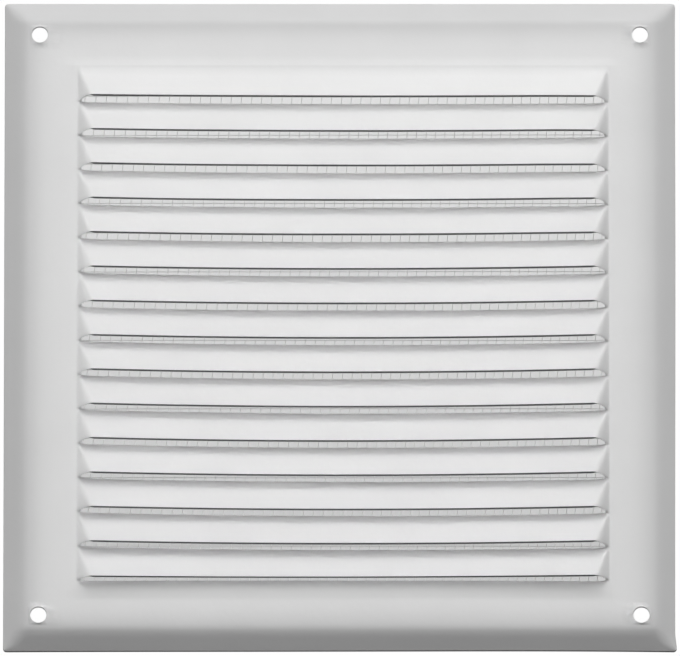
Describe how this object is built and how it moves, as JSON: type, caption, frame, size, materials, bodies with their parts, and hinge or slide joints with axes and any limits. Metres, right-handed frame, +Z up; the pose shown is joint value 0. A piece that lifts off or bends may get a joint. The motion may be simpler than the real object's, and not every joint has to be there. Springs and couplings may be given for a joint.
{
  "type": "ventilation grille",
  "caption": "Square white sheet-metal ventilation grille with rows of downward-opening louvres, a sloping flange, a screw hole in each corner and a wire insect mesh behind.",
  "frame": {"origin": "centre of the four screw holes, on the back face of the sheet", "axes": "-Y out of the front of the grille, away from the wall; +Z up, so the louvres open downward; +X to the right seen from the front"},
  "size_m": [0.2, 0.0092, 0.2],
  "materials": {
    "painted_sheet": "white powder coat, low sheen",
    "mesh_wire": "plain zinc-plated wire",
    "glue": "translucent hot-melt glue"
  },
  "bodies": {
    "root": {"grille_plate": "painted_sheet", "insect_mesh": "mesh_wire", "glue_beads": "glue"}
  },
  "joints": []
}
